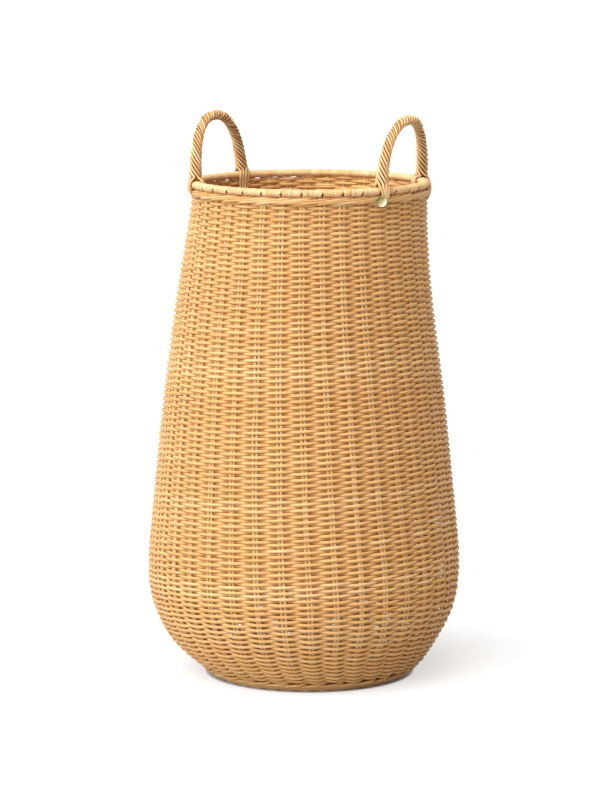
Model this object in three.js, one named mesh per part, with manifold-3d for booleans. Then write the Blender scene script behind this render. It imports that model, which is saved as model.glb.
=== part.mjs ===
// Tall pear-shaped rattan laundry basket, woven on paired stakes, with a bound rim and two roped handles.
// Millimetres, +Z up. The origin is under the middle of the basket, on the floor.
// Directions round the basket are azimuths in degrees: 0 is the front (-Y), and 90 is +X, by a handle.
import * as THREE from "three";
import { mergeVertices } from "three/addons/utils/BufferGeometryUtils.js";
import Module from "manifold-3d";

const wasm = await Module();
wasm.setup();

// Driving dimensions
const BELLY_RADIUS = 200;
const BELLY_HEIGHT = 150;
const RIM_RADIUS = 145.8;
const RIM_HEIGHT = 629;
const TOP_HEIGHT = 718;
const WALL_THICKNESS = 9.6;
const STAKES = 37;
const FIRST_STAKE = 17.2;
const STAKE_WIDTH = 7.2;
const STAKE_THICKNESS = 3;
const SEAT_GAP = 0.3;

// The belly is woven a little off the line through rim and foot
const SWAY = new THREE.Vector2(6.5, 2.5);
const SWAY_FOOT = 18;
const SWAY_BOTTOM = 60;
const SWAY_START = 440;
const SWAY_END = 606;

// The stakes run a little round the basket as they go down: height, and degrees from their place at the rim
const STAKE_TWIST = [
  [0, 7.6],
  [250, 4.2],
  [520, 2],
  [600, 0],
];

// Outer outline of the wall: height and radius
const WALL_OUTLINE = [
  [0, 125],
  [20, 150.5],
  [56, 178.5],
  [100, 196.4],
  [BELLY_HEIGHT, BELLY_RADIUS],
  [200, 195.8],
  [350, 180.5],
  [520, 158.8],
  [600, 150.4],
  [RIM_HEIGHT, 150.6],
];
const WALL_BOTTOM = 9;
const WALL_TOP = 612;
const NECK_HEIGHT = 480;
const FLUTE_START = 18;
const FLUTE_DEPTH = 3;

// Foot border and base
const FOOT_INNER = 114;
const FOOT_TOP = 10.5;
const FOOT_RADIUS = 121;
const BASE_THICKNESS = 5.2;
const BASE_DOME = 12;
const BASE_STICKS = 12;
const STICK_THICKNESS = 2.6;
const HUB_RADIUS = 34;

// Rim: two hoops with the stake ends between them, bound with cane
const RIM_HALF_WIDTH = 6.6;
const RIM_HALF_HEIGHT = 4.85;
const BINDING_THICKNESS = 0.8;
const SLIT_WIDTH = 1.8;
const HOOP_BACK = 3.1;
const HOOP_FACE = 1.4;

// Waled border under the rim
const WALE_BOTTOM = 612.5;
const WALE_TOP = 623.6;
const WALE_OUTER = 151.6;
const WALE_RIDGE = 1.5;
const WALE_SPAN = 3;

// Handles: strands laid round a core, straddling the rim
const STRANDS = 8;
const STRAND_RADIUS = 1.42;
const STRAND_SIDES = 4;
const STRAND_STEPS = 33;
const LAY_RADIUS = 5.2;
const LAY_POINTS = 60;
const CORE_RADIUS = 3;
const CORE_SIDES = 6;
const CORE_STEPS = 20;
const LAY_TURNS = 4.5;
const ARCH_POWER = 2.4;
const SPLIT_HEIGHT = 643;
const FLARE_HEIGHT = 664;
const TAIL_STATIONS = [
  { height: 635, reach: 7.8, spacing: 3.7, shift: 0 },
  { height: 629, reach: 9.1, spacing: 3.4, shift: 1.1 },
  { height: 625, reach: 9.1, spacing: 3.3, shift: 1.9 },
];
const HANDLES = [
  { name: "handle_right", turn: 0, halfSpan: 76, lean: 6.7, flare: 6.6 },
  { name: "handle_left", turn: 180, halfSpan: 76, lean: 5.5, flare: 2.5 },
];

// Round metal tag, hung on a pin through a hole near its top and turned a little aside
const STUD_AZIMUTH = 55.5;
const STUD_HEIGHT = 621.6;
const STUD_TURN = -24;
const STUD_RADIUS = 6.6;
const STUD_THICKNESS = 1.3;
const STUD_DROP = 4.2;
const STUD_HOLE = 1.4;
const STUD_SEAT = 155.4;
const POST_RADIUS = 0.8;
const POST_START = 148.4;
const CAP_RADIUS = 1.9;
const CAP_THICKNESS = 0.8;

const WEAVE = new THREE.MeshStandardMaterial({ color: 0xd6a263, roughness: 0.62, metalness: 0 });
const STICK = new THREE.MeshStandardMaterial({ color: 0xe0b57c, roughness: 0.6, metalness: 0 });
const CANE = new THREE.MeshStandardMaterial({ color: 0xe2b57e, roughness: 0.5, metalness: 0 });
const ROPE = new THREE.MeshStandardMaterial({ color: 0xd9a86a, roughness: 0.58, metalness: 0 });
const METAL = new THREE.MeshStandardMaterial({ color: 0xd8bf8a, roughness: 0.32, metalness: 1 });

const basket = new THREE.Group();
basket.name = "laundry_basket";

const radians = THREE.MathUtils.degToRad;
const clamp01 = (value) => THREE.MathUtils.clamp(value, 0, 1);

// Height and azimuth to a point at a given radius
function polar(radius, azimuth, height) {
  const angle = radians(azimuth);
  return new THREE.Vector3(radius * Math.sin(angle), -radius * Math.cos(angle), height);
}

// Slope of the outline at one of its points, from its two neighbours
function outlineSlope(index) {
  const before = WALL_OUTLINE[Math.max(index - 1, 0)];
  const after = WALL_OUTLINE[Math.min(index + 1, WALL_OUTLINE.length - 1)];
  return (after[1] - before[1]) / (after[0] - before[0]);
}

// Outer radius of the wall at a height: a smooth curve through the outline's points
function outerRadius(height) {
  const last = WALL_OUTLINE.length - 2;
  const found = WALL_OUTLINE.findIndex((point) => point[0] > height) - 1;
  const index = found < 0 ? (height <= 0 ? 0 : last) : found;
  const [z0, r0] = WALL_OUTLINE[index];
  const [z1, r1] = WALL_OUTLINE[index + 1];
  const span = z1 - z0;
  const t = (height - z0) / span;
  const ease = t * t * (3 - 2 * t);
  const rise = outlineSlope(index) * span * t * (1 - t) * (1 - t);
  const fall = outlineSlope(index + 1) * span * t * t * (t - 1);
  return r0 + (r1 - r0) * ease + rise + fall;
}

// Point of the wall section at a depth under the outer outline, measured square to it
function wallPoint(height, depth) {
  const step = 1;
  const slope = (outerRadius(height + step) - outerRadius(height - step)) / (2 * step);
  const length = Math.hypot(1, slope);
  return new THREE.Vector2(outerRadius(height) - depth / length, height + (depth * slope) / length);
}

// Sideways place of the basket's own axis at a height
function swayAt(height) {
  const top = clamp01((height - SWAY_START) / (SWAY_END - SWAY_START));
  const bottom = clamp01((SWAY_BOTTOM - height) / (SWAY_BOTTOM - SWAY_FOOT));
  return SWAY.clone().multiplyScalar(top * top + bottom * bottom);
}

// Degrees that the stakes have run round the basket at a height
function twistAt(height) {
  const above = STAKE_TWIST.findIndex((point) => point[0] > height);
  if (above < 0) return 0;
  const [z0, turn0] = STAKE_TWIST[above - 1];
  const [z1, turn1] = STAKE_TWIST[above];
  return THREE.MathUtils.mapLinear(height, z0, z1, turn0, turn1);
}

// A closed solid of a geometry with shared corners merged. Every corner moves by the twist and the
// sway at its own height, or the whole piece by those at the level given.
function solidOf(geometry, level = null) {
  const bare = geometry.clone();
  bare.deleteAttribute("normal");
  bare.deleteAttribute("uv");
  const merged = mergeVertices(bare, 1e-4);
  const corners = merged.attributes.position;
  const axis = new THREE.Vector2();
  for (let i = 0; i < corners.count; i += 1) {
    const height = Math.max(level ?? corners.getZ(i), 0);
    const place = new THREE.Vector2(corners.getX(i), corners.getY(i));
    place.rotateAround(axis, radians(twistAt(height))).add(swayAt(height));
    corners.setXY(i, place.x, place.y);
  }
  return new wasm.Manifold(
    new wasm.Mesh({
      numProp: 3,
      vertProperties: corners.array,
      triVerts: new Uint32Array(merged.index.array),
    }),
  );
}

function geometryOf(solid) {
  const mesh = solid.getMesh();
  const geometry = new THREE.BufferGeometry();
  geometry.setAttribute("position", new THREE.BufferAttribute(mesh.vertProperties, 3));
  geometry.setIndex(new THREE.BufferAttribute(mesh.triVerts, 1));
  geometry.computeVertexNormals();
  return geometry;
}

// Turns a section of radius and height about the basket's axis, with a corner at every stake
function revolved(section, sides, start = FIRST_STAKE) {
  const lathe = new THREE.LatheGeometry(section, sides, radians(start));
  return lathe.rotateX(Math.PI / 2);
}

// The same, for a section that closes on itself
function ringOf(section, sides, start = FIRST_STAKE) {
  return revolved([...section, section[0]], sides, start);
}

// A ring with a flat side at every stake, so that it swells between them
function swellingRing(section) {
  const swell = 1 / Math.cos(Math.PI / STAKES);
  const moved = section.map((point) => new THREE.Vector2(point.x * swell, point.y));
  return ringOf(moved, STAKES, FIRST_STAKE + 180 / STAKES);
}

// A straight box whose own X runs round the basket, Y points outwards and Z is up
function blockAt(size, radius, azimuth, height) {
  const place = polar(radius, azimuth, height);
  const block = new THREE.BoxGeometry(size.x, size.y, size.z);
  return block.rotateZ(radians(azimuth + 180)).translate(place.x, place.y, place.z);
}

const stakeAzimuths = Array.from({ length: STAKES }, (_, i) => FIRST_STAKE + (360 / STAKES) * i);

function addPiece(name, solid, material) {
  const mesh = new THREE.Mesh(geometryOf(solid), material);
  mesh.name = name;
  basket.add(mesh);
}

// Foot border: the ring that the basket stands on, flat underneath, which carries the wall's outline down
function makeFoot() {
  const outside = [0, 0.4, 0.8].map((share) => {
    const height = share * FOOT_TOP;
    return new THREE.Vector2(outerRadius(height), height);
  });
  const inside = [
    [outside[2].x - 4, FOOT_TOP],
    [FOOT_INNER + 2, FOOT_TOP],
    [FOOT_INNER, FOOT_TOP / 2],
    [FOOT_INNER + 2, 0],
  ].map(([radius, height]) => new THREE.Vector2(radius, height));
  addPiece("foot_border", solidOf(ringOf([...outside, ...inside], STAKES), 0), WEAVE);
}

// Height of the underside of the base at a radius: low at the edge, domed in the middle
function baseUnderside(radius) {
  const edge = FOOT_TOP + SEAT_GAP + STICK_THICKNESS + 2 * SEAT_GAP;
  const share = clamp01(radius / FOOT_RADIUS);
  return edge + BASE_DOME * (1 - share * share);
}

// Base: sticks that cross at a hub, with the woven disc lying over them
function makeBase() {
  const edge = wallPoint(WALL_BOTTOM, WALL_THICKNESS).x - 6 * SEAT_GAP;
  const radii = [0, 0.3, 0.6, 0.85, 1].map((share) => share * edge);
  const under = radii.map((radius) => new THREE.Vector2(radius, baseUnderside(radius)));
  const over = radii.map((radius) => new THREE.Vector2(radius, baseUnderside(radius) + BASE_THICKNESS));
  addPiece("base_weave", solidOf(revolved([...under, ...over.reverse()], STAKES), 0), WEAVE);

  const drop = 2 * SEAT_GAP + STICK_THICKNESS;
  const lower = (radius) => new THREE.Vector2(radius, baseUnderside(radius) - drop);
  const upper = (radius) => new THREE.Vector2(radius, baseUnderside(radius) - 2 * SEAT_GAP);
  const hub = [0, HUB_RADIUS].map(lower).concat([HUB_RADIUS, 0].map(upper));
  let sticks = solidOf(revolved(hub, BASE_STICKS * 2), 0);
  const reach = [HUB_RADIUS - 6, HUB_RADIUS + 24, FOOT_RADIUS - 28, FOOT_RADIUS + 2];
  const side = new THREE.Shape([...reach.map(lower), ...reach.map(upper).reverse()]);
  for (let i = 0; i < BASE_STICKS; i += 1) {
    const stick = new THREE.ExtrudeGeometry(side, { depth: STAKE_WIDTH, bevelEnabled: false });
    stick.translate(0, 0, -STAKE_WIDTH / 2).rotateX(Math.PI / 2);
    stick.rotateZ(radians((360 / BASE_STICKS) * i));
    sticks = sticks.add(solidOf(stick, 0));
  }
  addPiece("base_sticks", sticks, STICK);
}

// Heights at which the stakes and their pockets bend together
const STAKE_HEIGHTS = [WALL_BOTTOM + 8, 44, 90, BELLY_HEIGHT + 10, NECK_HEIGHT, WALL_TOP];

function wallMiddle(height, depth) {
  return wallPoint(height, WALL_THICKNESS / 2 + depth);
}

// Turns a section about the axis into a skin with a rib at every stake, drawn in between them
function ribbed(section) {
  const skin = revolved(section, STAKES * 2);
  const corners = skin.attributes.position;
  for (let i = 0; i < corners.count; i += 1) {
    const between = Math.floor(i / section.length) % 2 === 1;
    const radius = Math.hypot(corners.getX(i), corners.getY(i));
    if (!between || radius === 0 || corners.getZ(i) < FLUTE_START) continue;
    const scale = (radius - FLUTE_DEPTH) / radius;
    corners.setXY(i, corners.getX(i) * scale, corners.getY(i) * scale);
  }
  return skin;
}

// Wall: a woven shell with a rib at each stake, and an open-topped pocket in each rib for its stake
function makeWall() {
  const outerHeights = [WALL_BOTTOM, 20, 40, 66, 102, BELLY_HEIGHT, 200, 320, NECK_HEIGHT];
  const innerHeights = [WALL_BOTTOM, 34, 70, 120, 200, 340, NECK_HEIGHT];
  const above = WALL_TOP + 5;
  const foot = wallPoint(WALL_BOTTOM, WALL_THICKNESS);
  const outside = [
    new THREE.Vector2(0, foot.y),
    foot,
    ...outerHeights.map((height) => wallPoint(height, 0)),
    new THREE.Vector2(outerRadius(WALL_TOP), WALL_TOP),
    new THREE.Vector2(0, WALL_TOP),
  ];
  const inside = [
    new THREE.Vector2(0, 0),
    new THREE.Vector2(foot.x, 0),
    ...innerHeights.map((height) => wallPoint(height, WALL_THICKNESS)),
    new THREE.Vector2(wallPoint(WALL_TOP, WALL_THICKNESS).x, above),
    new THREE.Vector2(0, above),
  ];
  const shell = solidOf(ribbed(outside))
    .subtract(solidOf(revolved(inside, STAKES)))
    .subtract(stakeCage(1.2 * SEAT_GAP));
  addPiece("wall_weave", shell, WEAVE);
}

// Paired rods as one flat bar at each stake, from the ring where they turn under at the foot to the
// top of the rim, all larger by an allowance where the cage is cut out of the wall
function stakeCage(allowance) {
  const top = RIM_HEIGHT + RIM_HALF_HEIGHT - BINDING_THICKNESS - 4 * SEAT_GAP;
  const pointAt = (index, depth) =>
    index < STAKE_HEIGHTS.length
      ? wallMiddle(STAKE_HEIGHTS[index], depth)
      : new THREE.Vector2(RIM_RADIUS - depth, top);
  const low = STAKE_HEIGHTS[0] - 0.8 * STAKE_THICKNESS - allowance;
  const high = STAKE_HEIGHTS[0] + 0.1 * STAKE_THICKNESS + allowance;
  const half = 0.65 * STAKE_THICKNESS + allowance;
  const footRing = [
    wallMiddle(low, -half),
    wallMiddle(high, -half),
    wallMiddle(high, half),
    wallMiddle(low, half),
  ];
  let cage = solidOf(swellingRing(footRing));
  const width = STAKE_WIDTH + 2 * allowance;
  const thickness = STAKE_THICKNESS + 2 * allowance;
  for (const azimuth of stakeAzimuths) {
    const bends = STAKE_HEIGHTS.length;
    const stake = new THREE.BoxGeometry(width, thickness, bends, 1, 1, bends);
    const corners = stake.attributes.position;
    for (let i = 0; i < corners.count; i += 1) {
      const index = Math.round(corners.getZ(i) + bends / 2);
      const point = pointAt(index, -corners.getY(i));
      corners.setXYZ(i, corners.getX(i), point.x, point.y);
    }
    cage = cage.add(solidOf(stake.rotateZ(radians(azimuth + 180))));
  }
  return cage;
}

// Waled border: strands that rise to the right over three stakes, outside the stake ends
function makeWale() {
  const columns = STAKES * 3;
  const rows = 3;
  const inner = RIM_RADIUS + STAKE_THICKNESS / 2 + 1.5 * SEAT_GAP;
  const section = [];
  for (let i = 0; i <= rows; i += 1) {
    const height = THREE.MathUtils.lerp(WALE_BOTTOM, WALE_TOP, i / rows);
    section.push(new THREE.Vector2(WALE_OUTER, height));
  }
  section.push(new THREE.Vector2(inner, WALE_TOP), new THREE.Vector2(inner, WALE_BOTTOM));
  const band = ringOf(section, columns);
  const corners = band.attributes.position;
  const perColumn = section.length + 1;
  for (let i = 0; i < corners.count; i += 1) {
    const row = (i % perColumn) % section.length;
    if (row > rows) continue;
    const column = Math.floor(i / perColumn);
    const phase = (column - row) / WALE_SPAN;
    const dip = WALE_RIDGE * Math.abs(2 * (phase - Math.floor(phase)) - 1);
    const scale = (WALE_OUTER - dip) / WALE_OUTER;
    corners.setXY(i, corners.getX(i) * scale, corners.getY(i) * scale);
  }
  const place = polar(WALE_OUTER, STUD_AZIMUTH, STUD_HEIGHT);
  const bore = POST_RADIUS + SEAT_GAP;
  const hole = new THREE.CylinderGeometry(bore, bore, 4 * RIM_HALF_WIDTH, 8);
  hole.rotateZ(radians(STUD_AZIMUTH)).translate(place.x, place.y, place.z);
  addPiece("top_wale", solidOf(band, RIM_HEIGHT).subtract(solidOf(hole, RIM_HEIGHT)), WEAVE);
}

// Rim: an outer and an inner hoop, and the cane sleeve that opens in a slit at every stake
function makeRim() {
  const place = ([x, y]) => new THREE.Vector2(RIM_RADIUS + x, RIM_HEIGHT + y);
  const near = STAKE_THICKNESS / 2 + 1.2 * SEAT_GAP;
  const far = RIM_HALF_WIDTH - BINDING_THICKNESS - 1.2 * SEAT_GAP;
  const hoop = [
    [near, -HOOP_BACK],
    [far, -HOOP_FACE],
    [far, HOOP_FACE],
    [near, HOOP_BACK],
  ];
  const mirrored = hoop.map(([x, y]) => [-x, y]).reverse();
  addPiece("rim_hoop_outer", solidOf(swellingRing(hoop.map(place)), RIM_HEIGHT), STICK);
  addPiece("rim_hoop_inner", solidOf(swellingRing(mirrored.map(place)), RIM_HEIGHT), STICK);

  const flat = Math.SQRT2 - 1;
  const skin = [
    [1, -flat],
    [1, flat],
    [flat, 1],
    [-flat, 1],
    [-1, flat],
    [-1, -flat],
    [-flat, -1],
    [flat, -1],
  ].map(([x, y]) => place([x * RIM_HALF_WIDTH, y * RIM_HALF_HEIGHT]));
  const hollowWidth = RIM_HALF_WIDTH - BINDING_THICKNESS;
  const hollowHeight = RIM_HALF_HEIGHT - BINDING_THICKNESS;
  const hollow = [
    [1, -0.45],
    [1, 0.45],
    [0, 1.05],
    [-1, 0.45],
    [-1, -0.45],
    [0, -1.05],
  ].map(([x, y]) => place([x * hollowWidth, y * hollowHeight]));
  let sleeve = solidOf(swellingRing(skin)).subtract(solidOf(swellingRing(hollow)));
  const passage = new THREE.Vector3(
    STAKE_WIDTH + 2 * SEAT_GAP,
    STAKE_THICKNESS + 2 * SEAT_GAP,
    RIM_HALF_HEIGHT,
  );
  const slit = new THREE.Vector3(SLIT_WIDTH, RIM_HALF_WIDTH, 0.4 * RIM_HALF_HEIGHT);
  for (const azimuth of stakeAzimuths) {
    const below = blockAt(passage, RIM_RADIUS, azimuth, RIM_HEIGHT - RIM_HALF_HEIGHT);
    const front = blockAt(slit, RIM_RADIUS + RIM_HALF_WIDTH, azimuth, RIM_HEIGHT - 1.6 * slit.z);
    sleeve = sleeve.subtract(solidOf(below)).subtract(solidOf(front));
  }
  addPiece("rim_binding", sleeve, CANE);
}

// A round bar of a few sides along a curve
function barAlong(curve, radius, sides, steps) {
  const corners = Array.from({ length: sides }, (_, i) => {
    const angle = (2 * Math.PI * i) / sides;
    return new THREE.Vector2(radius * Math.cos(angle), radius * Math.sin(angle));
  });
  return new THREE.ExtrudeGeometry(new THREE.Shape(corners), {
    steps,
    extrudePath: curve,
    bevelEnabled: false,
  });
}

// The handle's arch as a squarish oval that leans out a little at its crown and flares at the rim
class Arch {
  constructor({ halfSpan, lean, flare }) {
    this.halfSpan = halfSpan;
    this.lean = lean;
    this.flare = flare;
    this.footSpan = halfSpan + flare;
    this.rise = TOP_HEIGHT - LAY_RADIUS - STRAND_RADIUS - RIM_HEIGHT;
    const count = 240;
    const oval = Array.from({ length: count + 1 }, (_, i) => this.pointAt((Math.PI * i) / count));
    this.route = new THREE.CatmullRomCurve3(oval.filter((point) => point.z >= SPLIT_HEIGHT));
    this.route.arcLengthDivisions = 2 * count;
  }

  pointAt(angle) {
    const power = 2 / ARCH_POWER;
    const across = -Math.sign(Math.cos(angle)) * Math.abs(Math.cos(angle)) ** power;
    const up = Math.abs(Math.sin(angle)) ** power;
    const height = RIM_HEIGHT + this.rise * up;
    const nearRim = clamp01((FLARE_HEIGHT - height) / (FLARE_HEIGHT - RIM_HEIGHT));
    const span = this.halfSpan + this.flare * nearRim * nearRim;
    const plane = Math.sqrt(RIM_RADIUS ** 2 - span ** 2);
    return new THREE.Vector3(plane + this.lean * up * up, span * across, height);
  }
}

// Outward direction, and direction round the basket, where a leg meets the rim
function legFrame(arch, end) {
  const plane = Math.sqrt(RIM_RADIUS ** 2 - arch.footSpan ** 2);
  const foot = new THREE.Vector3(plane, end * arch.footSpan, 0);
  const outward = foot.clone().normalize();
  const along = new THREE.Vector3(-outward.y, outward.x, 0);
  return { foot, outward, along };
}

// Tail of a strand at one leg, from the split down past the rim, on round to the right as it was laid:
// four run outside and four inside
function tailPoints(arch, end, slot) {
  const { foot, outward, along } = legFrame(arch, end);
  const outer = slot < STRANDS / 2;
  const way = outer ? 1 : -1;
  const rank = outer ? slot : STRANDS - 1 - slot;
  return TAIL_STATIONS.map(({ height, reach, spacing, shift }) => {
    const side = (rank - (STRANDS / 2 - 1) / 2) * spacing * end + way * shift;
    return foot
      .clone()
      .addScaledVector(outward, way * reach)
      .addScaledVector(along, side)
      .setZ(height);
  });
}

function makeHandle(handle) {
  const arch = new Arch(handle);
  const turn = radians(handle.turn);
  const coreLegs = [-1, 1].map((end) => {
    const { foot } = legFrame(arch, end);
    return foot.setZ(RIM_HEIGHT + RIM_HALF_HEIGHT + 6 * SEAT_GAP);
  });
  const coreRoute = new THREE.CatmullRomCurve3([
    coreLegs[0],
    ...arch.route.getSpacedPoints(CORE_STEPS),
    coreLegs[1],
  ]);
  const core = barAlong(coreRoute, CORE_RADIUS, CORE_SIDES, CORE_STEPS).rotateZ(turn);
  addPiece(handle.name + "_core", solidOf(core), ROPE);

  for (let k = 0; k < STRANDS; k += 1) {
    const points = [];
    const startAngle = legAngle(arch) + (k + 0.5 - STRANDS / 4) * (360 / STRANDS);
    for (let i = 0; i <= LAY_POINTS; i += 1) {
      const share = i / LAY_POINTS;
      const middle = arch.route.getPointAt(share);
      const tangent = arch.route.getTangentAt(share);
      const outward = new THREE.Vector3(1, 0, 0);
      const beyond = new THREE.Vector3().crossVectors(tangent, outward).normalize();
      const angle = radians(startAngle + 360 * LAY_TURNS * share);
      points.push(
        middle
          .addScaledVector(outward, LAY_RADIUS * Math.cos(angle))
          .addScaledVector(beyond, -LAY_RADIUS * Math.sin(angle)),
      );
    }
    const turnedSlots = Math.round(LAY_TURNS * STRANDS);
    const endSlot = (k + turnedSlots) % STRANDS;
    const before = tailPoints(arch, -1, k).reverse();
    const after = tailPoints(arch, 1, endSlot);
    const route = new THREE.CatmullRomCurve3([...before, ...points, ...after], false, "centripetal");
    route.arcLengthDivisions = 10 * LAY_POINTS;
    const strand = barAlong(route, STRAND_RADIUS, STRAND_SIDES, STRAND_STEPS).rotateZ(turn);
    addPiece(handle.name + "_strand_" + (k + 1), solidOf(strand), ROPE);
  }
}

// Angle from the handle's own outward direction to the basket's, where a leg meets the rim
function legAngle(arch) {
  return THREE.MathUtils.radToDeg(Math.asin(arch.footSpan / RIM_RADIUS));
}

// Metal stud: a shallow dished disc that hangs on a pin driven into the border, and the pin's head
function makeStud() {
  const face = [
    [0, 0.5],
    [STUD_RADIUS * 0.7, 0.7],
    [STUD_RADIUS * 0.9, STUD_THICKNESS],
    [STUD_RADIUS, STUD_THICKNESS * 0.7],
    [STUD_RADIUS * 0.94, 0],
    [0, 0],
  ];
  // A piece made about the pin's own line, its own Y outwards, goes to its radius on the border
  const onPin = (geometry, radius) => {
    const place = polar(radius, STUD_AZIMUTH, STUD_HEIGHT);
    const turned = geometry.rotateZ(radians(STUD_AZIMUTH + 180));
    return solidOf(turned.translate(place.x, place.y, place.z), RIM_HEIGHT);
  };
  const turnAside = (geometry) => geometry.rotateZ(radians(STUD_TURN));
  const profile = face.map(([x, y]) => new THREE.Vector2(x, y)).reverse();
  const disc = turnAside(new THREE.LatheGeometry(profile, 20).translate(0, 0, -STUD_DROP));
  const hole = turnAside(new THREE.CylinderGeometry(STUD_HOLE, STUD_HOLE, 4 * STUD_THICKNESS, 10));
  addPiece("stud_disc", onPin(disc, STUD_SEAT).subtract(onPin(hole, STUD_SEAT)), METAL);

  const capSeat = STUD_SEAT + STUD_THICKNESS + STUD_HOLE;
  const length = capSeat - POST_START;
  const post = new THREE.CylinderGeometry(POST_RADIUS, POST_RADIUS, length, 8);
  addPiece("stud_post", onPin(post, POST_START + length / 2), METAL);
  const cap = new THREE.CylinderGeometry(0.7 * CAP_RADIUS, CAP_RADIUS, CAP_THICKNESS, 12);
  addPiece("stud_cap", onPin(cap, capSeat + SEAT_GAP + CAP_THICKNESS / 2), METAL);
}

makeFoot();
makeBase();
makeWall();
addPiece("stakes", stakeCage(0), STICK);
makeWale();
makeRim();
HANDLES.forEach(makeHandle);
makeStud();

export default basket;
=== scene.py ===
import bpy
import numpy as np
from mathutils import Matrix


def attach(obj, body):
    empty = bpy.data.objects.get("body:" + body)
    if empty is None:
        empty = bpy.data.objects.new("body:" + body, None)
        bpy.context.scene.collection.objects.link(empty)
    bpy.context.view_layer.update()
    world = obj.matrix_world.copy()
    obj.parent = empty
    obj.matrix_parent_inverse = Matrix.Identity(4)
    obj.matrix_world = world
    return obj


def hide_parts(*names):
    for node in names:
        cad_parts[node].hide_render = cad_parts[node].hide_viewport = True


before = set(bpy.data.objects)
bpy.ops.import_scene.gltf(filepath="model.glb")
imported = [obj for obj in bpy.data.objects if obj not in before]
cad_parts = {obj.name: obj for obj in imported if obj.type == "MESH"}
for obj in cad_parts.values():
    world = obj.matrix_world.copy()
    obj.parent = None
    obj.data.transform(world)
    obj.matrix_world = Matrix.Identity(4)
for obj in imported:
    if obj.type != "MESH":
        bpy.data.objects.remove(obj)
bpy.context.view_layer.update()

MM = 0.001

# Driving dimensions, the same as the frame's
BELLY_RADIUS = 200
BELLY_HEIGHT = 150
RIM_RADIUS = 145.8
RIM_HEIGHT = 629
TOP_HEIGHT = 718
WALL_THICKNESS = 9.6
STAKES = 37
FIRST_STAKE = 17.2
STAKE_PITCH = 360 / STAKES
WALL_OUTLINE = np.array([
    (0, 125),
    (20, 150.5),
    (56, 178.5),
    (100, 196.4),
    (BELLY_HEIGHT, BELLY_RADIUS),
    (200, 195.8),
    (350, 180.5),
    (520, 158.8),
    (600, 150.4),
    (RIM_HEIGHT, 150.6),
])
SWAY = np.array([6.5, 2.5])
SWAY_FOOT = 18
SWAY_BOTTOM = 60
SWAY_START = 440
SWAY_END = 606
# The stakes run a little round the basket as they go down: height, and degrees from their place at the rim
STAKE_TWIST = np.array([
    (0, 7.6),
    (250, 4.2),
    (520, 2),
    (600, 0),
])
RIM_HALF_WIDTH = 6.6
RIM_HALF_HEIGHT = 4.85
# Each handle is built at the +X side and turned into place. Its two legs can differ: how far they flare
# at the rim, and how far their outer strands bulge and hang down over the wall.
HANDLES = [
    {
        "name": "handle_right",
        "turn": 0,
        "half_span": 76,
        "lean": 6.7,
        "legs": {
            -1: {"flare": 1, "bulge": 0, "drop": 0},
            1: {"flare": 6.6, "bulge": 2.9, "drop": 15},
        },
    },
    {
        "name": "handle_left",
        "turn": 180,
        "half_span": 76,
        "lean": 5.5,
        "legs": {
            -1: {"flare": 2.5, "bulge": 0, "drop": 0},
            1: {"flare": 2.5, "bulge": 0, "drop": 0},
        },
    },
]

# Camera, from the fit to the photograph: the frame is 600 by 800 pixels
VIEW_AZIMUTH = 21
VIEW_DISTANCE = 4500
VIEW_SIDE = -5
VIEW_HEIGHT = 1037.7
VIEW_PITCH = 8.675
FOCAL_PIXELS = 3567
FRAME_HEIGHT = 800
SENSOR = 36

# Corners round a strand
SIDES = 8

rng = np.random.default_rng(37)


# Shapes shared with the frame
def outline_slopes():
    padded = np.vstack([WALL_OUTLINE[:1], WALL_OUTLINE, WALL_OUTLINE[-1:]])
    rise = padded[2:] - padded[:-2]
    return rise[:, 1] / rise[:, 0]


def outer_radius(height):
    """Outer radius of the wall at a height: a smooth curve through the outline's points."""
    heights, radii = WALL_OUTLINE.T
    slopes = outline_slopes()
    index = np.clip(np.searchsorted(heights, height, side="right") - 1, 0, len(heights) - 2)
    span = heights[index + 1] - heights[index]
    t = (height - heights[index]) / span
    ease = t * t * (3 - 2 * t)
    rise = slopes[index] * span * t * (1 - t) ** 2
    fall = slopes[index + 1] * span * t * t * (t - 1)
    return radii[index] + (radii[index + 1] - radii[index]) * ease + rise + fall


def wall_normal(height):
    """Outward normal of the wall's outline at a height, as its radial and upward parts."""
    slope = (outer_radius(height + 1) - outer_radius(height - 1)) / 2
    length = np.hypot(1, slope)
    return 1 / length, -slope / length


def sway_at(height):
    """How far the basket stands aside at a height: its rim and its foot are not over its belly's middle."""
    top = np.clip((height - SWAY_START) / (SWAY_END - SWAY_START), 0, 1)
    bottom = np.clip((SWAY_BOTTOM - height) / (SWAY_BOTTOM - SWAY_FOOT), 0, 1)
    return np.multiply.outer(top**2 + bottom**2, SWAY)


def twist_at(height):
    """Degrees that the stakes have run round the basket at a height."""
    return np.interp(height, *STAKE_TWIST.T)


def polar(radius, azimuth, height):
    angle = np.radians(azimuth)
    return np.stack([radius * np.sin(angle), -radius * np.cos(angle), height + 0 * angle], axis=-1)


def swayed(points, level=None):
    """Points moved by the sway at their own height, or all by the sway at one level."""
    moved = np.array(points, float)
    height = moved[..., 2] if level is None else np.full(moved.shape[:-1], float(level))
    moved[..., :2] += sway_at(height)
    return moved


def wall_points(height, azimuth, out):
    """Points and normals at a distance out from the middle of the wall's thickness."""
    radial, upward = wall_normal(height)
    reach = out - WALL_THICKNESS / 2
    turned = azimuth + twist_at(height)
    points = polar(outer_radius(height) + reach * radial, turned, height + reach * upward)
    return swayed(points), polar(radial, turned, upward)


def rim_points(height, azimuth, out):
    """Points and level normals at a distance out from the rim's middle circle."""
    points = polar(RIM_RADIUS + out, azimuth, height)
    return swayed(points, RIM_HEIGHT), polar(1 + 0 * azimuth, azimuth, 0 * azimuth)


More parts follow.
